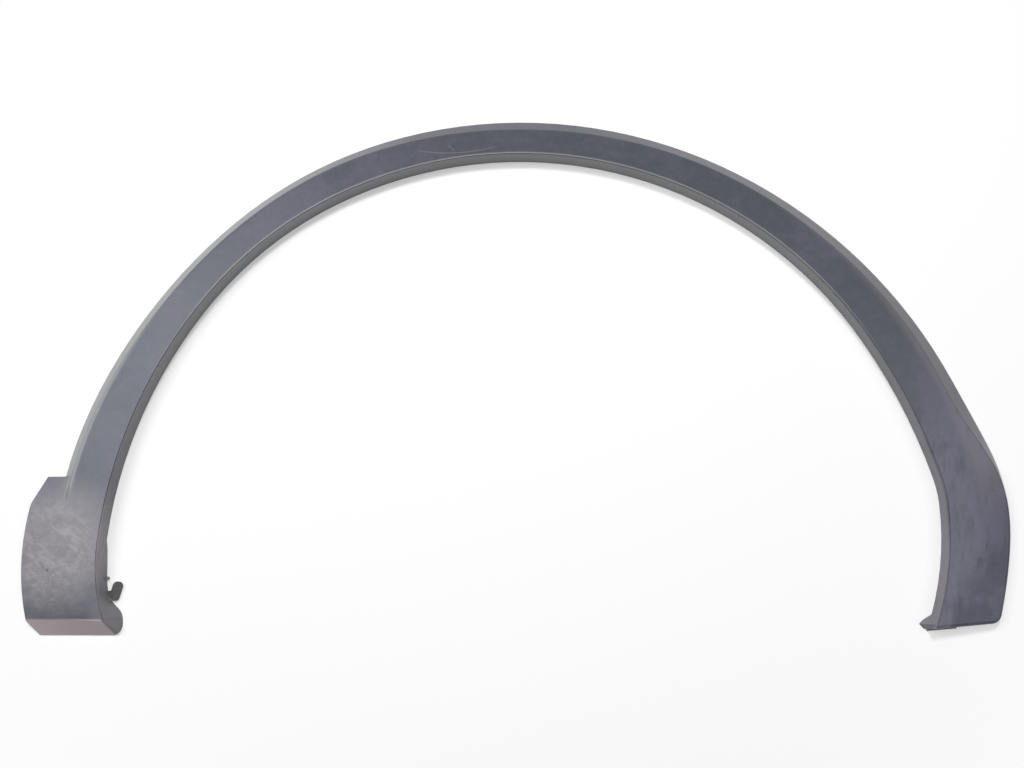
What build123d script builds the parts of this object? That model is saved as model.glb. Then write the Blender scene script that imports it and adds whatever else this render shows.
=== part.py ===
"""Wheel arch trim: one injection moulded strip that follows a wheel opening.

The trim lies face up on its open back. X runs along the car, Y points from the
wheel centre to the crown of the arch and Z points out of the visible face.
Lengths are millimetres and angles are degrees.

The visible skin is the meet of two simple forms. One is the lip and face section
swept along the base of the lip. The other is a flank lofted between two plan
outlines, which gives the sloped outer band. The same forms, taken in by the wall,
make the hollow of the back, and ribs and clip towers are left standing in it.
"""
import os
from math import hypot

from build123d import *

# Lip base, seen in plan from the right toe over the crown to the left toe
RIGHT_TOE_IN = 21.8
RIGHT_FOOT_RADIUS = 263.0
RIGHT_FOOT_SWEEP = 24.5
RIGHT_BEND_RADIUS = 106.0
RIGHT_BEND_SWEEP = 13.2
RIGHT_LEG_RADIUS = 514.0
RIGHT_LEG_SWEEP = 15.55
CROWN_RADIUS = 381.0
SHOULDER_RADIUS = 343.0
SHOULDER_SWEEP = 22.2
LEFT_LEG_RADIUS = 422.0
LEFT_LEG_SWEEP = 34.4
LEFT_FOOT_RADIUS = 160.0
LEFT_FOOT_SWEEP = 31.0
LEFT_TOE_IN = 27.1
TOE_OVERRUN = 30.0

# Lip and face section
WALL = 2.6
LIP_HEIGHT = 16.5
LIP_DRAFT = 0.5
LIP_ROUND = 0.5
LEDGE_WIDTH = 1.6
LEDGE_STEP = 0.8
LEDGE_DIP = 0.1
FACE_REACH = 110.0
FACE_FALL = 0.14
FACE_CROWN = 1.6

# Outer edge: width of the strip in plan, and how far the sloped band reaches in
FLANK_RISE = 16.0
RIGHT_TOE_WIDTH = 56.9
RIGHT_HEEL_WIDTH = 60.3
RIGHT_NECK_WIDTH = 55.4
RIGHT_LEG_WIDTH = 53.5
HAUNCH_WIDTH = 48.1
BROW_WIDTH = 43.0
CROWN_WIDTH = 41.1
SHOULDER_WIDTH = 41.9
LEFT_LEG_WIDTH = 44.2
LEFT_NECK_WIDTH = 50.4
LEFT_TOE_WIDTH = 54.0
FOOT_RUN = 1.0
RIGHT_HEEL_RUN = 8.0
RIGHT_RUN = 17.0
HAUNCH_RUN = 15.3
BROW_RUN = 14.0
CROWN_RUN = 15.0
LEFT_RUN = 13.0

# Left foot, measured from the end of the lip base
LEFT_TOE_TRIM = 1.3
WING_HEIGHT = 144.6
WING_TOP_REACH = 73.4
WING_SLANT_RUN = 13.6
WING_SLANT_DROP = 25.0
WING_REACH = 91.6
WING_BELLY_HEIGHT = 78.0
WING_TOE_REACH = 71.7
WING_CORNER_RUN = 11.0
WING_CORNER_RISE = 13.0
WING_OVERLAP = 40.0
WING_SINK = 3.0
WING_SINK_LENGTH = 24.0
BEVEL_RUN = 14.3
BEVEL_TOE_HEIGHT = 1.0

# Rounded creases of the visible side, and how their edges are told apart
CREASE_RADIUS = 3.0
CREASE_MIN_LENGTH = 120.0
RIM_RADIUS = 1.5
EDGE_CLEARANCE = 12.0
EDGE_MIN_HEIGHT = 2.0
EDGE_MAX_RISE = 0.6
UPRIGHT_MIN_RISE = 0.9

# Right foot, measured from the start of the lip base
RIGHT_TOE_SLANT = 4.8
RIGHT_CORNER_RADIUS = 10.0
TOE_FLANGE_START = -1.0
TOE_FLANGE_LENGTH = 26.0
TOE_FLANGE_REACH = 2.0
TOE_FLANGE_THICKNESS = 1.5

# Flared ears at the lip ends
LEFT_EAR_LENGTH = 90.0
LEFT_EAR_SPREAD = 60.0
LEFT_EAR_SPREAD_FLARE = 2.3
LEFT_EAR_ROOT = 31.0
LEFT_EAR_ROOT_FLARE = 4.7
LEFT_EAR_ELBOW = 20.0
LEFT_EAR_FLARE = 9.6
LEFT_EAR_KNEE = 12.5
LEFT_EAR_KNEE_FLARE = 8.9
LEFT_EAR_TOE_FLARE = 1.5
LEFT_EAR_TIP = 3.1
LEFT_EAR_CUT_RUN = 6.5
LEFT_EAR_CUT_RISE = 12.9
LEFT_EAR_CUT_BULGE = 2.6
LEFT_EAR_DEPTH = 12.0
EAR_TUCK = 0.7
RIGHT_EAR_FLARE = 9.5
RIGHT_EAR_HEIGHT = 12.5
RIGHT_EAR_ROOT = 4.6
RIGHT_EAR_TIP = 7.1
RIGHT_EAR_TIP_HEIGHT = 4.2
RIGHT_EAR_KNEE = 3.6
RIGHT_EAR_KNEE_HEIGHT = 7.5
RIGHT_EAR_DEPTH = 8.0

# Fixing tongue and pip beside the left ear
TONGUE_WIDTH = 8.6
TONGUE_LENGTH = 18.0
TONGUE_THICKNESS = 3.0
TONGUE_LEAN = 29.0
TONGUE_ROOT = 36.5
TONGUE_GAP = 7.4
TONGUE_NECK = 9.0
TONGUE_NECK_SHIFT = 1.5
PIP_RADIUS = 1.6
PIP_HEIGHT = 3.0
PIP_PLACE = 54.5
PIP_OUT = 3.0

# Back of the moulding
RIB_COUNT = 16
RIB_THICKNESS = 1.8
RIB_RECESS = 4.0
TOWER_COUNT = 8
TOWER_LENGTH = 26.0
TOWER_WIDTH = 17.0
TOWER_WALL = 2.0
TOWER_REACH = 13.0
TOWER_RECESS = 2.5
TOWER_PLATE = 2.2
SLOT_WIDTH = 8.0
SLOT_SETBACK = 9.0

FLOOR_MARGIN = 5.0
HEADROOM = 30.0
CUTTER = 160.0

Z_UP = Vector(0, 0, 1)

crown_sweep = 180 + RIGHT_TOE_IN + LEFT_TOE_IN - (
    RIGHT_FOOT_SWEEP + RIGHT_BEND_SWEEP + RIGHT_LEG_SWEEP
    + SHOULDER_SWEEP + LEFT_LEG_SWEEP + LEFT_FOOT_SWEEP
)
lip_arcs = (
    (RIGHT_FOOT_RADIUS, RIGHT_FOOT_SWEEP),
    (RIGHT_BEND_RADIUS, RIGHT_BEND_SWEEP),
    (RIGHT_LEG_RADIUS, RIGHT_LEG_SWEEP),
    (CROWN_RADIUS, crown_sweep),
    (SHOULDER_RADIUS, SHOULDER_SWEEP),
    (LEFT_LEG_RADIUS, LEFT_LEG_SWEEP),
    (LEFT_FOOT_RADIUS, LEFT_FOOT_SWEEP),
)

# Stations of the left ear: distance from the toe along the lip, and flare at the floor
left_ear_stations = (
    (LEFT_EAR_LENGTH, 0),
    (LEFT_EAR_SPREAD, LEFT_EAR_SPREAD_FLARE),
    (LEFT_EAR_ROOT, LEFT_EAR_ROOT_FLARE),
    (LEFT_EAR_ELBOW, LEFT_EAR_FLARE),
    (LEFT_EAR_KNEE, LEFT_EAR_KNEE_FLARE),
    (0, LEFT_EAR_TOE_FLARE),
)

# Stations of the outer edge: share of the lip length, width there and run of the band
edge_stations = (
    (0.000, RIGHT_TOE_WIDTH, FOOT_RUN),
    (0.050, RIGHT_TOE_WIDTH, FOOT_RUN),
    (0.092, RIGHT_HEEL_WIDTH, RIGHT_HEEL_RUN),
    (0.130, RIGHT_NECK_WIDTH, RIGHT_RUN),
    (0.171, RIGHT_LEG_WIDTH, RIGHT_RUN),
    (0.260, HAUNCH_WIDTH, HAUNCH_RUN),
    (0.370, BROW_WIDTH, BROW_RUN),
    (0.495, CROWN_WIDTH, CROWN_RUN),
    (0.640, SHOULDER_WIDTH, LEFT_RUN),
    (0.778, LEFT_LEG_WIDTH, LEFT_RUN),
    (0.890, LEFT_NECK_WIDTH, LEFT_RUN),
    (1.000, LEFT_TOE_WIDTH, LEFT_RUN),
)


def outward(tangent):
    """Plan direction away from the wheel for a lip tangent."""
    return Vector(tangent.Y, -tangent.X, 0)


def station(share):
    """Plane on the lip base: X away from the wheel, Y towards the left toe."""
    return Plane(lip @ share, x_dir=outward(lip % share), z_dir=Z_UP)


# Base of the lip, then the same line run on past both toes
with BuildLine() as lip_line:
    heading = Vector(1, 0, 0).rotate(Axis.Z, 90 - RIGHT_TOE_IN)
    tip = Vector(0, 0, 0)
    for radius, sweep_angle in lip_arcs:
        arc = JernArc(start=tip, tangent=heading, radius=radius, arc_size=sweep_angle)
        tip = arc @ 1
        heading = arc % 1
lip = lip_line.wires()[0]

with BuildLine() as long_line:
    run_in = Line(lip @ 0 - (lip % 0) * TOE_OVERRUN, lip @ 0)
    add(lip)
    Line(lip @ 1, lip @ 1 + (lip % 1) * TOE_OVERRUN)
long_lip = long_line.wires()[0]

section_plane = Plane(run_in @ 0, x_dir=outward(run_in % 0), z_dir=-(run_in % 0))
right_foot = Plane(lip @ 0)
right_toe = right_foot.rotated((0, 0, RIGHT_TOE_SLANT))
left_foot = Plane(lip @ 1)
face_start = LEDGE_WIDTH + LEDGE_STEP / 2
face_height = LIP_HEIGHT + LEDGE_STEP


def face_level(reach):
    """Height of the straight face line at a plan distance from the lip."""
    return face_height - FACE_FALL * (reach - face_start)


def face_lift(reach):
    """Height that the crown of the face adds to its straight line."""
    half_span = (FACE_REACH - face_start) / 2
    return FACE_CROWN * (1 - ((reach - face_start) / half_span - 1) ** 2)


def face_height_at(point):
    """Height of the crowned face over a plan point."""
    reach = lip.distance_to(point)
    return face_level(reach) + face_lift(reach)


def face_plane(point, across, along, inset):
    """Plane through the face at a plan point, leaning along two directions."""
    origin = Vector(point.X, point.Y, face_height_at(point))
    return Plane(origin, x_dir=across, z_dir=across.cross(along)).offset(-inset)


def face_body(inset, floor):
    """Lip and face swept along the lip, taken in by inset and cut off at floor."""
    with BuildPart() as body:
        with BuildSketch(section_plane):
            with BuildLine():
                drop = inset * hypot(1, FACE_FALL)
                face_end = (FACE_REACH, face_level(FACE_REACH) - drop)
                if inset:
                    face_top = (inset + LIP_DRAFT, face_level(inset) - LEDGE_STEP - drop)
                    Polyline((FACE_REACH, floor), (inset, floor), face_top)
                else:
                    lip_top = (LIP_DRAFT, LIP_HEIGHT - LIP_ROUND)
                    ledge = (LIP_DRAFT + LIP_ROUND, LIP_HEIGHT)
                    face_top = (face_start, face_height)
                    Polyline((FACE_REACH, floor), (0, floor), lip_top)
                    RadiusArc(lip_top, ledge, LIP_ROUND)
                    Polyline(ledge, (LEDGE_WIDTH, LIP_HEIGHT - LEDGE_DIP), face_top)
                SagittaArc(face_top, face_end, FACE_CROWN)
                Line(face_end, (FACE_REACH, floor))
            make_face()
        sweep(path=long_lip)
    return body.part


def edge_points(level, inset):
    """Plan points of the sloped flank at a height, taken in by inset."""
    points = []
    for share, width, run in edge_stations:
        slope = run / FLANK_RISE
        reach = width - slope * level - inset * hypot(1, slope)
        points.append(lip @ share + outward(lip % share) * reach)
    return points


def flank_body(inset):
    """Everything inside the outer edge, lofted between two plan outlines."""
    with BuildPart() as body:
        for level in (-FLOOR_MARGIN, HEADROOM):
            with BuildSketch(Plane.XY.offset(level)):
                with BuildLine():
                    edge = Spline(*edge_points(level, inset))
                    Line(edge @ 1, edge @ 0)
                make_face()
        loft(ruled=True)
    return body.part


def wing_body(inset):
    """Plate that widens the left foot, sunk where it starts beside the band."""
    top_in = (-WING_OVERLAP, WING_HEIGHT)
    top_out = (-WING_TOP_REACH, WING_HEIGHT)
    slant_end = (-WING_TOP_REACH - WING_SLANT_RUN, WING_HEIGHT - WING_SLANT_DROP)
    belly = (-WING_REACH, WING_BELLY_HEIGHT)
    corner = (-WING_TOE_REACH - WING_CORNER_RUN, LEFT_TOE_TRIM + WING_CORNER_RISE)
    toe_out = (-WING_TOE_REACH, LEFT_TOE_TRIM)
    toe_in = (-WING_OVERLAP, LEFT_TOE_TRIM)
    with BuildPart() as body:
        with BuildSketch(left_foot.offset(-FLOOR_MARGIN)):
            with BuildLine():
                Polyline(toe_in, top_in, top_out, slant_end)
                ThreePointArc(slant_end, belly, corner)
                Polyline(corner, toe_out, toe_in)
            make_face()
            if inset:
                offset(amount=-inset, kind=Kind.INTERSECTION, mode=Mode.REPLACE)
        extrude(amount=HEADROOM + FLOOR_MARGIN)
        flush = left_foot.from_local_coords(Vector(-WING_TOP_REACH, WING_HEIGHT - WING_SINK_LENGTH))
        across = Vector(-1, 0, -FACE_FALL)
        along = Vector(0, 1, -WING_SINK / WING_SINK_LENGTH)
        with BuildSketch(face_plane(flush, along, across, inset)):
            Rectangle(CUTTER, CUTTER)
        extrude(amount=CUTTER, mode=Mode.SUBTRACT)
    return body.part


def plan_body(inset):
    """Flank and wing together, with both toes cut off square to the floor."""
    with BuildPart() as body:
        add(flank_body(inset))
        add(wing_body(inset))
        for toe, trim in ((left_foot, LEFT_TOE_TRIM), (right_toe, 0)):
            with BuildSketch(toe.offset(-CUTTER / 2)):
                with Locations((0, trim + inset)):
                    Rectangle(2 * CUTTER, CUTTER, align=(Align.CENTER, Align.MAX))
            extrude(amount=CUTTER, mode=Mode.SUBTRACT)
        with BuildSketch(left_foot.offset(-CUTTER / 2)):
            with BuildLine():
                ear_toe = (LEFT_EAR_TIP - LEFT_EAR_CUT_RUN - inset, LEFT_TOE_TRIM)
                ear_tip = (LEFT_EAR_TIP - inset, LEFT_TOE_TRIM + LEFT_EAR_CUT_RISE)
                SagittaArc(ear_toe, ear_tip, -LEFT_EAR_CUT_BULGE)
                Polyline(ear_tip, (CUTTER, ear_tip[1]), (CUTTER, 0), (ear_toe[0], 0), ear_toe)
            make_face()
        extrude(amount=CUTTER, mode=Mode.SUBTRACT)
        upright = body.edges().filter_by(lambda edge: abs((edge % 0.5).Z) > UPRIGHT_MIN_RISE)
        fillet(upright.sort_by(Axis.X)[-1], RIGHT_CORNER_RADIUS - inset)
    return body.part


def left_ear_points(level, inset):
    """Plan points of the left ear at a height, leaning from the crease to the floor."""
    points = []
    for distance, flare in left_ear_stations:
        share = 1 - distance / lip.length
        lean = 1 - level / LIP_HEIGHT
        reach = inset + EAR_TUCK * (1 - lean) - flare * lean
        points.append(lip @ share + outward(lip % share) * reach)
    return points


def ear_body(inset, floor):
    """Flared ends of the lip, leaning from the crease out to the floor."""
    top = LIP_HEIGHT - LIP_ROUND - inset
    with BuildPart() as body:
        for level in (floor, top):
            with BuildSketch(Plane.XY.offset(level)):
                with BuildLine():
                    flare = Spline(*left_ear_points(level, inset))
                    toe_back = flare @ 1 + outward(lip % 1) * LEFT_EAR_DEPTH
                    root_back = flare @ 0 + outward(lip % 1) * LEFT_EAR_DEPTH
                    Polyline(flare @ 1, toe_back, root_back, flare @ 0)
                make_face()
        loft(ruled=True)
        lean = Vector(RIGHT_EAR_FLARE, 0, LIP_HEIGHT)
        foot = Vector(inset, 0, 0) + lean * (floor / LIP_HEIGHT)
        with BuildSketch(Plane(right_foot.origin + foot)):
            with BuildLine():
                Polyline(
                    (RIGHT_EAR_ROOT, RIGHT_EAR_HEIGHT),
                    (-RIGHT_EAR_KNEE, RIGHT_EAR_KNEE_HEIGHT),
                    (-RIGHT_EAR_TIP, RIGHT_EAR_TIP_HEIGHT),
                    (-RIGHT_EAR_KNEE, 0),
                    (-RIGHT_EAR_KNEE, -FLOOR_MARGIN),
                    (RIGHT_EAR_DEPTH, -FLOOR_MARGIN),
                    (RIGHT_EAR_DEPTH, RIGHT_EAR_HEIGHT),
                    close=True,
                )
            make_face()
        extrude(amount=lean.length * (top - floor) / LIP_HEIGHT, dir=lean)
    return body.part


def form(inset, floor):
    """Outer form of the trim, taken in by inset and reaching down to floor."""
    with BuildPart() as body:
        add(face_body(inset, floor))
        add(ear_body(inset, floor))
        add(plan_body(inset), mode=Mode.INTERSECT)
    return body.part


def bevel_cutter(inset):
    """Block above the bevel of the left toe, which falls from the face to a thin edge."""
    crease = LEFT_TOE_TRIM + BEVEL_RUN
    ends = (-WING_REACH, -WING_OVERLAP)
    heights = [face_height_at(left_foot.from_local_coords(Vector(x, crease))) for x in ends]
    fall = (heights[1] - heights[0]) / (ends[1] - ends[0])
    drop = inset * hypot(1, face_height / BEVEL_RUN)
    with BuildPart() as body:
        for place in (crease + FLOOR_MARGIN, LEFT_TOE_TRIM - FLOOR_MARGIN):
            share = (crease - place) / BEVEL_RUN
            corners = []
            for x in (-CUTTER, CUTTER):
                top = heights[0] + fall * (x - ends[0])
                corners.append((x, top + (BEVEL_TOE_HEIGHT - top) * share - drop))
            origin = left_foot.from_local_coords(Vector(0, place))
            with BuildSketch(Plane(origin, x_dir=(1, 0, 0), z_dir=(0, -1, 0))):
                with BuildLine():
                    Polyline(*corners, (CUTTER, CUTTER), (-CUTTER, CUTTER), close=True)
                make_face()
        loft(ruled=True)
    return body.part


def off_lip(edge):
    """Whether an edge lies above the floor and well away from the lip."""
    middle = edge @ 0.5
    reach = lip.distance_to(Vector(middle.X, middle.Y, 0))
    return middle.Z > EDGE_MIN_HEIGHT and reach > EDGE_CLEARANCE


def on_crease(edge):
    """Whether an edge is part of the long crease between face and band."""
    return off_lip(edge) and edge.length > CREASE_MIN_LENGTH


def on_rim(edge):
    """Whether an edge runs round the top of the left foot's side wall."""
    place = left_foot.to_local_coords(edge @ 0.5)
    outside = place.X < -WING_TOP_REACH and place.Y < WING_HEIGHT
    return off_lip(edge) and outside and abs((edge % 0.5).Z) < EDGE_MAX_RISE


# Visible skin with its creases rounded
with BuildPart() as skin:
    add(form(0, 0))
    fillet(skin.edges().filter_by(on_crease), CREASE_RADIUS)
    fillet(skin.edges().filter_by(on_rim), RIM_RADIUS)
    add(bevel_cutter(0), mode=Mode.SUBTRACT)

# Ribs across the hollow of the back
rib_shares = [(i + 0.5) / RIB_COUNT for i in range(RIB_COUNT)]
with BuildPart() as ribs:
    for share in rib_shares:
        with BuildSketch(station(share).offset(RIB_RECESS)):
            Rectangle(FACE_REACH, RIB_THICKNESS, align=(Align.MIN, Align.CENTER))
        extrude(amount=HEADROOM)

# Clip towers: a plate with an open slot on three walls
tower_shares = [(i + 0.5) / TOWER_COUNT for i in range(TOWER_COUNT)]
with BuildPart() as towers:
    for share in tower_shares:
        base = station(share).offset(TOWER_RECESS)
        with BuildSketch(base):
            with Locations((TOWER_REACH, 0)):
                Rectangle(TOWER_WIDTH, TOWER_LENGTH)
        extrude(amount=HEADROOM)
        with BuildSketch(base.offset(TOWER_PLATE)):
            with Locations((TOWER_REACH, TOWER_WALL)):
                Rectangle(TOWER_WIDTH - 2 * TOWER_WALL, TOWER_LENGTH)
        extrude(amount=HEADROOM, mode=Mode.SUBTRACT)
        with BuildSketch(base):
            with Locations((TOWER_REACH, SLOT_SETBACK - TOWER_LENGTH / 2)):
                Circle(SLOT_WIDTH / 2)
                Rectangle(SLOT_WIDTH, TOWER_LENGTH, align=(Align.CENTER, Align.MIN))
        extrude(amount=TOWER_PLATE, mode=Mode.SUBTRACT)

# Hollow of the back with the ribs and towers left standing
with BuildPart() as hollow:
    add(form(WALL, -FLOOR_MARGIN))
    add(bevel_cutter(WALL), mode=Mode.SUBTRACT)
    add(ribs.part, mode=Mode.SUBTRACT)
    add(towers.part, mode=Mode.SUBTRACT)

# The moulding, with its small fixing features
with BuildPart() as moulding:
    add(skin.part)
    add(hollow.part, mode=Mode.SUBTRACT)
    with BuildSketch(station(1 - TONGUE_ROOT / lip.length)):
        with BuildLine(mode=Mode.PRIVATE):
            tongue_line = PolarLine((-TONGUE_GAP, 0), TONGUE_LENGTH - TONGUE_WIDTH, 270 - TONGUE_LEAN)
        SlotCenterPoint(tongue_line @ 0.5, tongue_line @ 1, TONGUE_WIDTH)
        with Locations((-TONGUE_GAP, -TONGUE_NECK_SHIFT)):
            Rectangle(TONGUE_GAP + WALL / 2, TONGUE_NECK, align=(Align.MIN, Align.CENTER))
    extrude(amount=TONGUE_THICKNESS)
    with BuildSketch(station(1 - PIP_PLACE / lip.length)):
        with Locations((-PIP_OUT, 0)):
            Circle(PIP_RADIUS)
    extrude(amount=PIP_HEIGHT)
    with BuildSketch(right_toe):
        with Locations((TOE_FLANGE_START, WALL / 2)):
            Rectangle(TOE_FLANGE_LENGTH, TOE_FLANGE_REACH + WALL / 2, align=(Align.MIN, Align.MAX))
    extrude(amount=TOE_FLANGE_THICKNESS)

# Origin under the middle of the part, on the plane that it lies on
box = moulding.part.bounding_box()
with BuildPart() as wheel_arch_trim:
    add(moulding.part.moved(Location((-box.center().X, -box.center().Y, -box.min.Z))))
wheel_arch_trim.part.label = "wheel_arch_trim"

os.makedirs("parts", exist_ok=True)
export_step(wheel_arch_trim.part, "parts/wheel_arch_trim.step")
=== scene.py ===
"""Shows the wheel arch trim as a photograph of a used part on a white sweep."""

import logging
import math
from dataclasses import dataclass, field
from enum import Enum
from typing import Any, Union

import bmesh
import bpy
from mathutils import Matrix, Vector


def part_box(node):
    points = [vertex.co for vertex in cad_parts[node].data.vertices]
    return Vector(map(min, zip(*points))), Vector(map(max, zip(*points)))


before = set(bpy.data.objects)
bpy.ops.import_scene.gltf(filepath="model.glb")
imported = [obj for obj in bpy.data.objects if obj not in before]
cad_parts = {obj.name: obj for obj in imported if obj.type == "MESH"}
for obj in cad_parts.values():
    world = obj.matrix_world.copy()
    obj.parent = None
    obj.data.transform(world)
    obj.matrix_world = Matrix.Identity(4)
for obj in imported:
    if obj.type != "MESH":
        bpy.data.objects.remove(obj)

WHITE = (1.0, 1.0, 1.0, 1.0)
NOISE_MIDDLE = 0.5
MIX_FACTOR, MIX_BELOW, MIX_ABOVE = 0, 6, 7
MIX_COLOUR = 2

Rgb = tuple[float, float, float]
Point = tuple[float, float, float]

log = logging.getLogger("wheel_arch_trim")


class Blend(Enum):
    """How a colour is laid over another one."""

    MIX = "MIX"
    MULTIPLY = "MULTIPLY"


@dataclass(frozen=True)
class Step:
    """Two values between which a mask eases from 0 to 1."""

    low: float
    high: float


@dataclass(frozen=True)
class Noise:
    """A noise pattern, with its features to the metre and how they break up."""

    scale: float
    detail: float = 2.0
    roughness: float = 0.5


class Wire:
    """A shader socket that can stand in a Python expression."""

    def __init__(self, graph: "Graph", socket: bpy.types.NodeSocket) -> None:
        """Keeps the socket and the graph that it belongs to."""
        self.graph = graph
        self.socket = socket

    def _math(self, operation: str, *terms: "Term") -> "Wire":
        """Returns the result of a Math node on these terms."""
        return self.graph.node("ShaderNodeMath", {"operation": operation}, dict(enumerate(terms)))

    def __add__(self, other: "Term") -> "Wire":
        """Returns self plus other."""
        return self._math("ADD", self, other)

    def __radd__(self, other: "Term") -> "Wire":
        """Returns other plus self."""
        return self._math("ADD", other, self)

    def __sub__(self, other: "Term") -> "Wire":
        """Returns self minus other."""
        return self._math("SUBTRACT", self, other)

    def __rsub__(self, other: "Term") -> "Wire":
        """Returns other minus self."""
        return self._math("SUBTRACT", other, self)

    def __mul__(self, other: "Term") -> "Wire":
        """Returns self times other."""
        return self._math("MULTIPLY", self, other)

    def __rmul__(self, other: "Term") -> "Wire":
        """Returns other times self."""
        return self._math("MULTIPLY", other, self)

    def __or__(self, other: "Term") -> "Wire":
        """Returns the larger of self and other."""
        return self._math("MAXIMUM", self, other)

    def __ror__(self, other: "Term") -> "Wire":
        """Returns the larger of other and self."""
        return self._math("MAXIMUM", other, self)

    def __abs__(self) -> "Wire":
        """Returns self without its sign."""
        return self._math("ABSOLUTE", self)

    def ease(self, step: Step) -> "Wire":
        """Returns a mask that eases from 0 at the step's low to 1 at its high."""
        return self.graph.node(
            "ShaderNodeMapRange",
            {"interpolation_type": "SMOOTHSTEP"},
            {"Value": self, "From Min": step.low, "From Max": step.high},
        )


Term = Union[Wire, float]


class Graph:
    """A node tree that is filled from Python expressions."""

    def __init__(self, tree: bpy.types.NodeTree) -> None:
        """Empties the tree and keeps it."""
        tree.nodes.clear()
        self.tree = tree

    def node(
        self,
        kind: str,
        settings: dict[str, Any] | None = None,
        inputs: dict[str | int, Any] | None = None,
        output: str | int = 0,
    ) -> Wire:
        """Adds a node.

        Args:
            kind: The node's type name.
            settings: Attributes of the node, which are set first.
            inputs: Values or wires for its sockets, by name or index.
            output: The output that is returned.

        Returns:
            The wire of that output.
        """
        made = self.tree.nodes.new(kind)
        for name, value in (settings or {}).items():
            setattr(made, name, value)
        for key, value in (inputs or {}).items():
            if isinstance(value, Wire):
                self.tree.links.new(value.socket, made.inputs[key])
            else:
                made.inputs[key].default_value = value
        return Wire(self, made.outputs[output])

    def close(self, kind: str, surface: Wire) -> None:
        """Adds the output node of this kind and gives it the surface."""
        end = self.tree.nodes.new(kind)
        self.tree.links.new(surface.socket, end.inputs["Surface"])

    def place(self) -> Wire:
        """Returns the object coordinates."""
        return self.node("ShaderNodeTexCoord", output="Object")

    def seen(self) -> Wire:
        """Returns 1 for what the eye, a gloss or a glass looks at, and 0 for plain light."""
        rays = ("Is Camera Ray", "Is Glossy Ray", "Is Transmission Ray")
        eye, gloss, glass = (self.node("ShaderNodeLightPath", output=ray) for ray in rays)
        return eye | gloss | glass

    def distance(self, where: Wire, point: Point) -> Wire:
        """Returns how far this place is from a point."""
        return self.node(
            "ShaderNodeVectorMath", {"operation": "DISTANCE"}, {0: where, 1: point}, "Value"
        )

    def noise(self, where: Wire, noise: Noise) -> Wire:
        """Returns a noise value, which varies about a half, at this place."""
        return self.node(
            "ShaderNodeTexNoise",
            None,
            {
                "Vector": where,
                "Scale": noise.scale,
                "Detail": noise.detail,
                "Roughness": noise.roughness,
            },
        )

    def streaks(self, where: Wire, noise: Noise, heading: float, stretch: float) -> Wire:
        """Returns noise that is drawn out in one direction.

        Args:
            where: The place.
            noise: The pattern before it is drawn out.
            heading: The direction in plan, in degrees from X.
            stretch: How many times longer than wide a feature becomes.

        Returns:
            The noise value.
        """
        turned = self.node(
            "ShaderNodeVectorRotate",
            {"rotation_type": "Z_AXIS"},
            {"Vector": where, "Angle": math.radians(-heading)},
        )
        squeezed = self.node(
            "ShaderNodeVectorMath",
            {"operation": "MULTIPLY"},
            {0: turned, 1: (1.0, stretch, 1.0)},
        )
        return self.noise(squeezed, noise)

    def layer(
        self, below: Wire | Rgb, above: Wire | Rgb, mask: Wire, blend: Blend = Blend.MIX
    ) -> Wire:
        """Lays one colour over another.

        Args:
            below: The colour that is covered.
            above: The colour that covers it.
            mask: How much of the covering colour shows.
            blend: The way in which it covers.

        Returns:
            The colour that results.
        """
        lower, upper = (c if isinstance(c, Wire) else (*c, 1.0) for c in (below, above))
        return self.node(
            "ShaderNodeMix",
            {"data_type": "RGBA", "blend_type": blend.value, "clamp_factor": True},
            {MIX_FACTOR: mask, MIX_BELOW: lower, MIX_ABOVE: upper},
            MIX_COLOUR,
        )


@dataclass(frozen=True)
class Patch:
    """A round place on the trim with a centre and a soft edge, in metres."""

    centre: Point
    inner: float
    outer: float

    def mask(self, graph: Graph, where: Wire) -> Wire:
        """Returns 1 inside the patch, easing to 0 at its outer radius."""
        return graph.distance(where, self.centre).ease(Step(self.outer, self.inner))


@dataclass(frozen=True)
class Scuff:
    """Fine pale lines that run one way inside a patch."""

    patch: Patch
    heading: float
    amount: float
    noise: Noise
    line: Step
    stretch: float = 5.0

    def mask(self, graph: Graph, where: Wire) -> Wire:
        """Returns how far the surface is scuffed at this place."""
        streak = graph.streaks(where, self.noise, self.heading, self.stretch)
        return abs(streak - NOISE_MIDDLE).ease(self.line) * self.patch.mask(graph, where) * self.amount


@dataclass(frozen=True)
class Scratch:
    """One fine pale line along an arc, which shows inside a patch."""

    patch: Patch
    centre: Point
    radius: float
    amount: float
    line: Step = Step(0.0009, 0.0002)

    def mask(self, graph: Graph, where: Wire) -> Wire:
        """Returns how far the surface is scratched at this place."""
        gap = abs(graph.distance(where, self.centre) - self.radius)
        return gap.ease(self.line) * self.patch.mask(graph, where) * self.amount


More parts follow.
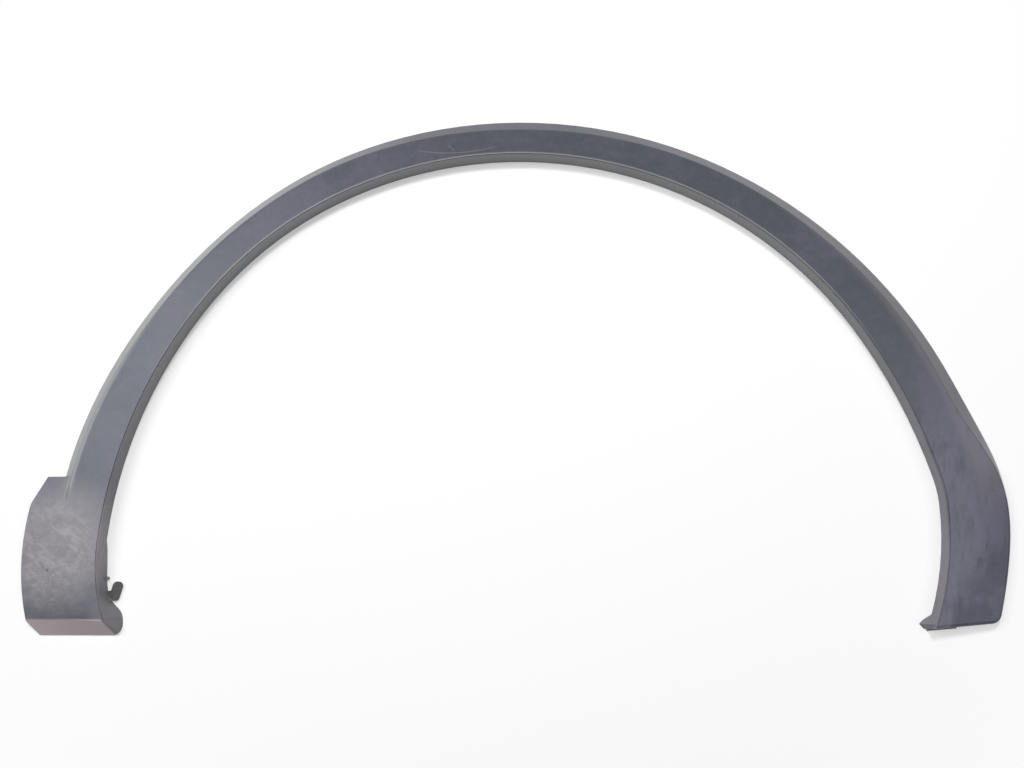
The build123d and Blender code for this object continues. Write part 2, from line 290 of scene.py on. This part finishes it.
@dataclass(frozen=True)
class TrimZones:
    """Stretches of the trim, told apart by their coordinates in metres."""

    arch_centre: Point = (0.005, -0.176, 0.008)
    inside: Step = Step(0.408, 0.386)
    outside: Step = Step(0.4065, 0.4105)
    lip_top: Step = Step(0.0152, 0.0135)
    near_lip: Step = Step(0.3850, 0.3825)
    lip_edge: Step = Step(0.0170, 0.0160)
    widening: Step = Step(0.060, -0.110)
    widened: float = 0.006
    band_top: Step = Step(0.0148, 0.0138)
    band_foot: Step = Step(-0.150, -0.090)
    wing_edge: Step = Step(-0.1030, -0.1005)
    sliver: Step = Step(-0.122, -0.110)
    sliver_side: Step = Step(0.4215, 0.4195)
    leg: Step = Step(0.120, -0.140)
    side: Step = Step(0.040, 0.260)
    upper: Step = Step(-0.160, -0.020)
    left_side: Step = Step(-0.080, -0.330)
    # Heights of the lip's crest, where a painted highlight is laid.
    crest: Step = Step(0.01711, 0.01726)
    crest_side: Step = Step(-0.020, 0.120)
    bevel: Step = Step(-0.2300, -0.2326)
    bevel_crease: float = -0.2312
    ear_slope: float = 0.545
    ear_crease: float = -0.4933
    ear_depth: float = 0.0014
    crease_line: Step = Step(0.0020, 0.0004)
    # Share of the painted shade line along the bevel's crease.
    bevel_shade_share: float = 0.5
    left_foot: Step = Step(-0.300, -0.330)
    # Where the right foot curves away at its outer and lower edge; painted shade is laid there.
    right_edge_shade: Step = Step(0.395, 0.448)
    right_foot: Step = Step(-0.060, -0.140)

    def masks(self, graph: Graph, where: Wire) -> dict[str, Wire]:
        """Returns a mask for each zone, by its name."""
        x, y, z = (
            graph.node("ShaderNodeSeparateXYZ", None, {0: where}, axis) for axis in ("X", "Y", "Z")
        )
        reach = graph.distance(where, self.arch_centre)
        foot = x.ease(self.left_foot)
        ear = x + y * self.ear_slope - self.ear_crease
        toe = y.ease(self.bevel) * foot
        edge = abs(y - self.bevel_crease).ease(self.crease_line)
        beyond = reach - y.ease(self.widening) * self.widened
        band = z.ease(self.band_top) * beyond.ease(self.outside) * y.ease(self.band_foot)
        above = y.ease(self.wing_edge) | y.ease(self.sliver) * reach.ease(self.sliver_side)
        return {
            "lip": z.ease(self.lip_top) * reach.ease(self.inside)
            | z.ease(self.lip_edge) * reach.ease(self.near_lip),
            "band": band,
            "left_band": band * x.ease(self.left_side) * above,
            "leg": y.ease(self.leg),
            "side": abs(x).ease(self.side),
            "left": x.ease(self.left_side),
            "upper": y.ease(self.upper),
            # Painted highlight along the crest of the lip.
            "crest": z.ease(self.crest) * y.ease(self.crest_side),
            "bevel": toe * ear.ease(Step(self.ear_depth, -self.ear_depth)),
            # Painted shade: dark lines along the left toe's bevel and ear creases.
            "toe_crease_shade": toe * abs(ear).ease(self.crease_line) | foot * edge * self.bevel_shade_share,
            # Painted shade along the right foot's outer and lower edge.
            "right_edge_shade": x.ease(self.right_edge_shade) * y.ease(self.right_foot),
        }


@dataclass(frozen=True)
class Ground:
    """What each layer of the finish reads at a place on the trim."""

    graph: Graph
    where: Wire
    zone: dict[str, Wire]
    clear: Wire
    brushed: Wire
    mottle: Wire
    texture: Wire
    left_foot: Wire
    right_foot: Wire

    def on(self, patch: Patch) -> Wire:
        """Returns the mask of a patch."""
        return patch.mask(self.graph, self.where)


@dataclass(frozen=True)
class BloomAndSheen:
    """Fading that turns the plastic lighter, and a painted sheen on the left shoulder, with the share of
    each place.
    """

    colour: Rgb = (0.098, 0.092, 0.130)
    face: float = 0.16
    sides: float = 0.16
    left_foot: float = 0.5
    right_foot: float = 0.50
    brushing: float = 2.4
    texture: float = 1.8
    # Painted sheen: the left shoulder is lighter where the key light's gloss falls on it.
    shoulder: float = 0.25
    left_shoulder_sheen: Patch = Patch((-0.180, 0.170, 0.015), 0.060, 0.200)

    def mask(self, ground: Ground) -> Wire:
        """Returns how far the plastic has faded, with the painted sheen on the left shoulder added."""
        clouded = ground.clear * (ground.zone["side"] * self.sides + self.face)
        brushed = ground.right_foot * (ground.brushed * self.brushing + self.right_foot)
        speckled = (ground.texture - NOISE_MIDDLE) * self.texture
        # Painted sheen on the left shoulder.
        shoulder = ground.on(self.left_shoulder_sheen) * self.shoulder
        return clouded + brushed + speckled + ground.left_foot * self.left_foot + shoulder


@dataclass(frozen=True)
class GrimeAndShade:
    """Dirt that darkens the plastic, and painted shade on the outer band, the right foot's outer edge
    and the toe creases, with the share of each place.
    """

    colour: Rgb = (0.420, 0.425, 0.520)
    toe: float = 1.2
    # Painted shade: share of the darkening along the right foot's outer edge.
    edge: float = 0.8
    stain: float = 0.6
    grooves: float = 0.60
    groove: Step = Step(0.02, 0.20)
    # Painted shade: darkens the whole outer band.
    band: float = 0.60
    heel: float = 0.3
    right_toe: Patch = Patch((0.415, -0.232, 0.010), 0.012, 0.055)
    right_stain: Patch = Patch((0.436, -0.186, 0.010), 0.006, 0.020)
    left_heel: Patch = Patch((-0.400, -0.222, 0.010), 0.008, 0.040)

    def mask(self, ground: Ground) -> Wire:
        """Returns how far the plastic is darkened by dirt and by painted shade."""
        toe = ground.on(self.right_toe) * (self.toe - ground.clear)
        # Painted shade along the right foot's outer edge.
        edge = ground.zone["right_edge_shade"] * self.edge
        stain = ground.on(self.right_stain) * self.stain
        grooves = (0.0 - ground.brushed).ease(self.groove) * ground.right_foot * self.grooves
        # Painted shade on the outer band.
        band = ground.zone["band"] * self.band
        heel = ground.on(self.left_heel) * self.heel
        # The toe creases get painted shade lines.
        return toe + edge + stain + grooves + band + heel + ground.zone["toe_crease_shade"]


@dataclass(frozen=True)
class DustAndLight:
    """Pale dusting, and painted light on the inner lip and on the side bands, with the share of each
    place.
    """

    colour: Rgb = (0.335, 0.311, 0.320)
    # Painted light: the pale layer on the inner lip also stands for the light it catches from the floor
    # and the front; the shares per stretch follow where that light falls.
    lip: float = 0.22
    lip_on_legs: float = 0.13
    lip_on_left: float = -0.14
    lip_on_upper_left: float = 0.20
    # Painted light: the bands on the sides are lighter where they catch the light.
    band: float = 0.20
    ear: float = 0.17
    foot: float = 0.36
    spots: float = 0.24
    spot: Step = Step(0.35, 0.68)
    wiped: float = 0.4
    left_ear: Patch = Patch((-0.3620, -0.2260, 0.0060), 0.012, 0.026)
    wing_top: Patch = Patch((-0.430, -0.112, 0.010), 0.008, 0.026)

    def mask(self, ground: Ground) -> Wire:
        """Returns how far the pale layer covers the plastic, painted light included."""
        zone = ground.zone
        left = zone["left"] * (zone["upper"] * self.lip_on_upper_left + self.lip_on_left)
        # Pale layer on the lip, partly painted light.
        lip = zone["lip"] * (zone["leg"] * self.lip_on_legs + left + self.lip)
        # Painted light on the side bands.
        band = zone["band"] * zone["side"] * self.band
        ear = ground.on(self.left_ear) * self.ear
        foot = ground.left_foot * (ground.texture.ease(self.spot) * self.spots + self.foot)
        return (lip + band + ear + foot) * (1.0 - ground.on(self.wing_top) * self.wiped)


@dataclass(frozen=True)
class FilmAndLight:
    """A thin greyish layer that also paints light on the left band and on the crown's lip, with the
    share of each place.
    """

    colour: Rgb = (0.305, 0.322, 0.318)
    # Painted light: the left band is lighter where the light from the left falls on it.
    band: float = 0.68
    # Greyish tint of the crown's lip, partly painted light.
    lip: float = 0.36

    def mask(self, ground: Ground) -> Wire:
        """Returns how far the greyish layer and its painted light cover the plastic."""
        # Painted light on the left band and the crown's lip.
        lip = ground.zone["lip"] * (1.0 - ground.zone["leg"]) * self.lip
        return ground.zone["left_band"] * self.band + lip


@dataclass(frozen=True)
class WearAndHighlight:
    """Scuffs, scratches and specks, which are pale, and a painted highlight along the crest of the lip.
    """

    colour: Rgb = (0.440, 0.425, 0.420)
    # Painted highlight: share of the pale line along the crest.
    crest: float = 0.40
    specks: float = 0.09
    speck: Noise = Noise(420.0, 2.0)
    speck_edge: Step = Step(0.62, 0.76)
    scratch_gaps: Step = Step(0.30, 0.48)
    scuff_gaps: Step = Step(0.36, 0.56)
    scratches: tuple[Scratch, ...] = (
        Scratch(Patch((-0.052, 0.210, 0.0165), 0.026, 0.046), (-0.0592, 0.3698, 0.0165), 0.1620, 0.15),
        Scratch(Patch((-0.058, 0.2132, 0.0165), 0.002, 0.006), (-0.122, 0.138, 0.0165), 0.0985, 0.24),
    )
    scuffs: tuple[Scuff, ...] = (
        Scuff(
            Patch((-0.416, -0.166, 0.010), 0.016, 0.050), -36.0, 0.27, Noise(22.0, 3.0), Step(0.07, 0.01)
        ),
        Scuff(
            Patch((-0.420, -0.190, 0.010), 0.010, 0.040), 8.0, 0.21, Noise(30.0, 3.0), Step(0.05, 0.01)
        ),
    )

    def mask(self, ground: Ground) -> Wire:
        """Returns how far the surface has turned pale from scuffing, with the painted crest highlight.
        """
        graph, where = ground.graph, ground.where
        speck = graph.noise(where, self.speck).ease(self.speck_edge)
        # The crest line is a painted highlight; the specks, scratches and scuffs are real marks.
        pale = ground.zone["crest"] * self.crest | speck * ground.right_foot * self.specks
        for scratch in self.scratches:
            pale = pale | scratch.mask(graph, where) * ground.mottle.ease(self.scratch_gaps)
        for scuff in self.scuffs:
            pale = pale | scuff.mask(graph, where) * ground.mottle.ease(self.scuff_gaps)
        return pale


@dataclass(frozen=True)
class MouldedPlastic:
    """Weathered dark moulded plastic with a fine grain, dusting and scuffs, and with painted light and
    shade in its colour.
    """

    slate: Rgb = (0.0475, 0.0550, 0.0645)
    # Pale reddish dusting on the left toe's bevel, made paler still as painted light from the front,
    # where no lamp reaches.
    bevel_reddish_and_lit: Rgb = (0.420, 0.357, 0.367)
    bevel_reddish_share: float = 0.92
    # Painted shade: a dark colour laid on the tongue, which lies low in shade and is less weathered, and
    # on the pit, whose hollow is in shade.
    shade_black: Rgb = (0.076, 0.072, 0.073)
    gloss: Rgb = (0.88, 0.90, 1.00)
    roughness: float = 0.36
    roughness_spread: float = 0.2
    matt_tongue: float = 0.30
    matt_dust: float = 0.12
    bump_height: float = 0.0004
    bump_strength: float = 0.25
    bump_texture: float = 1.6

    cloud: Noise = Noise(22.0, 3.0)
    clearing: Step = Step(0.40, 0.62)
    mottle: Noise = Noise(120.0, 4.0, 0.65)
    mottle_share: float = 0.65
    grain: Noise = Noise(1100.0)
    grain_share: float = 0.35
    brushing: Noise = Noise(30.0, 4.0, 0.62)
    brushing_heading: float = 82.0
    brushing_stretch: float = 3.0

    zones: TrimZones = TrimZones()
    left_foot: Patch = Patch((-0.418, -0.166, 0.010), 0.030, 0.078)
    right_foot: Patch = Patch((0.413, -0.150, 0.010), 0.060, 0.170)
    # The tongue and the pit are where painted shade is laid.
    tongue: Patch = Patch((-0.3600, -0.2060, 0.0010), 0.0085, 0.0105)
    pit: Patch = Patch((-0.4220, -0.1877, 0.0119), 0.0008, 0.0019)
    bloom_and_sheen: BloomAndSheen = BloomAndSheen()
    grime_and_shade: GrimeAndShade = GrimeAndShade()
    dust_and_light: DustAndLight = DustAndLight()
    film_and_light: FilmAndLight = FilmAndLight()
    wear_and_highlight: WearAndHighlight = WearAndHighlight()

    def _ground(self, graph: Graph) -> Ground:
        """Returns the zones and patterns that the layers share."""
        where = graph.place()
        mottle = graph.noise(where, self.mottle)
        streaks = graph.streaks(where, self.brushing, self.brushing_heading, self.brushing_stretch)
        return Ground(
            graph=graph,
            where=where,
            zone=self.zones.masks(graph, where),
            clear=graph.noise(where, self.cloud).ease(self.clearing),
            brushed=streaks - NOISE_MIDDLE,
            mottle=mottle,
            texture=mottle * self.mottle_share + graph.noise(where, self.grain) * self.grain_share,
            left_foot=self.left_foot.mask(graph, where),
            right_foot=self.right_foot.mask(graph, where),
        )

    def _colour(self, ground: Ground, worn_and_highlit: Wire) -> Wire:
        """Lays the colours of plastic, dirt and painted shade, dusting and painted light, a greyish
        layer, the pale reddish bevel, scuffs and the painted crest highlight, and the painted shade of
        the tongue and pit over each other.

        Args:
            ground: What the layers read.
            worn_and_highlit: How far the surface has turned pale from scuffing and from the painted
                crest highlight.

        Returns:
            The colour of the surface.
        """
        layer = ground.graph.layer
        colour = layer(self.slate, self.bloom_and_sheen.colour, self.bloom_and_sheen.mask(ground))
        colour = layer(colour, self.grime_and_shade.colour, self.grime_and_shade.mask(ground), Blend.MULTIPLY)
        colour = layer(colour, self.dust_and_light.colour, self.dust_and_light.mask(ground))
        colour = layer(colour, self.film_and_light.colour, self.film_and_light.mask(ground))
        # Reddish bevel, partly painted light.
        colour = layer(colour, self.bevel_reddish_and_lit, ground.zone["bevel"] * self.bevel_reddish_share)
        colour = layer(colour, self.wear_and_highlight.colour, worn_and_highlit)
        # Painted shade on the tongue and the pit.
        return layer(colour, self.shade_black, ground.on(self.tongue) + ground.on(self.pit))

    def material(self) -> bpy.types.Material:
        """Returns the material of the moulded plastic."""
        made = bpy.data.materials.new("moulded_plastic")
        made.use_nodes = True
        graph = Graph(made.node_tree)
        ground = self._ground(graph)
        worn_and_highlit = self.wear_and_highlight.mask(ground)
        dusty = ground.zone["lip"] | ground.zone["bevel"]
        matt = ground.on(self.tongue) * self.matt_tongue + dusty * self.matt_dust
        bump = graph.node(
            "ShaderNodeBump",
            None,
            {
                "Strength": self.bump_strength,
                "Distance": self.bump_height,
                # The bump also follows the painted crest highlight.
                "Height": ground.texture * self.bump_texture - worn_and_highlit,
            },
        )
        uneven = (ground.mottle - NOISE_MIDDLE) * self.roughness_spread
        shader = graph.node(
            "ShaderNodeBsdfPrincipled",
            None,
            {
                "Base Color": self._colour(ground, worn_and_highlit),
                "Roughness": uneven + matt + self.roughness,
                "Specular Tint": (*self.gloss, 1.0),
                "Normal": bump,
            },
        )
        graph.close("ShaderNodeOutputMaterial", shader)
        return made


@dataclass(frozen=True)
class PaperSweep:
    """White paper that stays white for the camera and still takes a shadow."""

    paper: Rgb = (0.95, 0.95, 0.95)
    white: float = 0.985
    lift: float = 0.3
    fade: Step = Step(0.30, 0.80)

    def material(self) -> bpy.types.Material:
        """Returns the material of the paper."""
        made = bpy.data.materials.new("paper_sweep")
        made.use_nodes = True
        graph = Graph(made.node_tree)
        matt = graph.node("ShaderNodeBsdfDiffuse", None, {"Color": (*self.paper, 1.0)})
        white = graph.node("ShaderNodeEmission", None, {"Color": WHITE, "Strength": self.white})
        away = graph.node("ShaderNodeVectorMath", {"operation": "LENGTH"}, {0: graph.place()}, "Value")
        lifted = away.ease(self.fade) * (1.0 - self.lift) + self.lift
        both = graph.node("ShaderNodeMixShader", None, {0: graph.seen() * lifted, 1: matt, 2: white})
        graph.close("ShaderNodeOutputMaterial", both)
        return made


@dataclass
class WheelArchTrim:
    """The one moulded piece, which is the CAD node with its finish."""

    node: str = "wheel_arch_trim"
    slot: str = "moulded_plastic"
    finish: MouldedPlastic = field(default_factory=MouldedPlastic)

    def build(self) -> bpy.types.Object:
        """Returns the trim as it comes from the CAD model."""
        low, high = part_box(self.node)
        log.info("%s: %s m", self.node, [round(side, 4) for side in high - low])
        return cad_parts[self.node]

    def dress(self, trim: bpy.types.Object) -> None:
        """Gives the trim its finish in place of the flat colour."""
        trim.data.materials.clear()
        trim.data.materials.append(self.finish.material())


@dataclass
class StudioFloor:
    """The level sweep that the trim lies on."""

    half_width: float = 6.0
    drop: float = 0.0002
    finish: PaperSweep = field(default_factory=PaperSweep)

    def build(self) -> bpy.types.Object:
        """Returns the floor, which is no part of the object."""
        form = bmesh.new()
        bmesh.ops.create_grid(form, x_segments=1, y_segments=1, size=self.half_width)
        bmesh.ops.translate(form, verts=form.verts, vec=(0.0, 0.0, -self.drop))
        mesh = bpy.data.meshes.new("studio_floor")
        form.to_mesh(mesh)
        form.free()
        floor = bpy.data.objects.new("studio_floor", mesh)
        bpy.context.scene.collection.objects.link(floor)
        log.info("studio_floor: %.1f m wide", 2 * self.half_width)
        return floor

    def dress(self, floor: bpy.types.Object) -> None:
        """Gives the floor its paper."""
        floor.data.materials.append(self.finish.material())


@dataclass
class Softbox:
    """A square area light that looks at the middle of the trim and may be mirrored in a gloss."""

    name: str
    place: Point
    width: float
    power: float
    mirrored: bool = True

    def build(self) -> bpy.types.Object:
        """Returns the light."""
        data = bpy.data.lights.new(self.name, "AREA")
        data.shape = "SQUARE"
        data.size = self.width
        data.energy = self.power
        lamp = bpy.data.objects.new(self.name, data)
        lamp.location = self.place
        lamp.rotation_euler = (-Vector(self.place)).to_track_quat("-Z", "Y").to_euler()
        lamp.visible_glossy = self.mirrored
        bpy.context.scene.collection.objects.link(lamp)
        log.info("%s: %.1f W at %s", self.name, self.power, self.place)
        return lamp


@dataclass
class Surround:
    """The white room around the trim."""

    strength: float = 0.06
    white: float = 0.985

    def build(self) -> bpy.types.World:
        """Returns the world, which the camera and a gloss see as plain white."""
        world = bpy.data.worlds.new("white_room")
        world.use_nodes = True
        graph = Graph(world.node_tree)
        strength = graph.seen() * (self.white - self.strength) + self.strength
        room = graph.node("ShaderNodeBackground", None, {"Color": WHITE, "Strength": strength})
        graph.close("ShaderNodeOutputWorld", room)
        bpy.context.scene.world = world
        log.info("white_room: strength %.2f", self.strength)
        return world


@dataclass
class PhotoCamera:
    """The camera, placed and turned as the photograph was taken."""

    place: Point = (0.02560, -0.19209, 0.955)
    focal_px: float = 1035.0
    frame_px: float = 1024.0
    sensor_mm: float = 36.0
    aim_px: tuple[float, float] = (28.0, 191.0)

    def build(self) -> bpy.types.Object:
        """Returns the camera."""
        data = bpy.data.cameras.new("photo_camera")
        data.sensor_fit = "HORIZONTAL"
        data.sensor_width = self.sensor_mm
        data.lens = self.focal_px * self.sensor_mm / self.frame_px
        camera = bpy.data.objects.new("photo_camera", data)
        across, along = (math.atan(shift / self.focal_px) for shift in self.aim_px)
        turn = Matrix.Rotation(across, 4, "Y") @ Matrix.Rotation(along, 4, "X")
        camera.matrix_world = Matrix.Translation(self.place) @ turn
        bpy.context.scene.collection.objects.link(camera)
        bpy.context.scene.camera = camera
        log.info("photo_camera: lens %.2f mm", data.lens)
        return camera


@dataclass
class Studio:
    """Floor, lights, room and camera around the trim."""

    floor: StudioFloor = field(default_factory=StudioFloor)
    key: Softbox = field(default_factory=lambda: Softbox("key", (-1.82, 0.72, 2.76), 1.8, 55.0))
    fill: Softbox = field(default_factory=lambda: Softbox("fill", (1.60, -0.20, 2.80), 2.0, 24.0))
    back: Softbox = field(default_factory=lambda: Softbox("back", (-0.05, 1.30, 2.40), 0.5, 41.0, False))
    room: Surround = field(default_factory=Surround)
    camera: PhotoCamera = field(default_factory=PhotoCamera)

    def build(self) -> None:
        """Builds every part of the studio."""
        self.floor.dress(self.floor.build())
        for part in (self.key, self.fill, self.back, self.room, self.camera):
            part.build()
        bpy.context.scene.view_settings.view_transform = "Standard"


def main() -> None:
    """Builds the trim and then the studio."""
    logging.basicConfig(level=logging.INFO, format="%(name)s %(message)s")
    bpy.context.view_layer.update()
    trim = WheelArchTrim()
    trim.dress(trim.build())
    Studio().build()


if __name__ == "__main__":
    main()
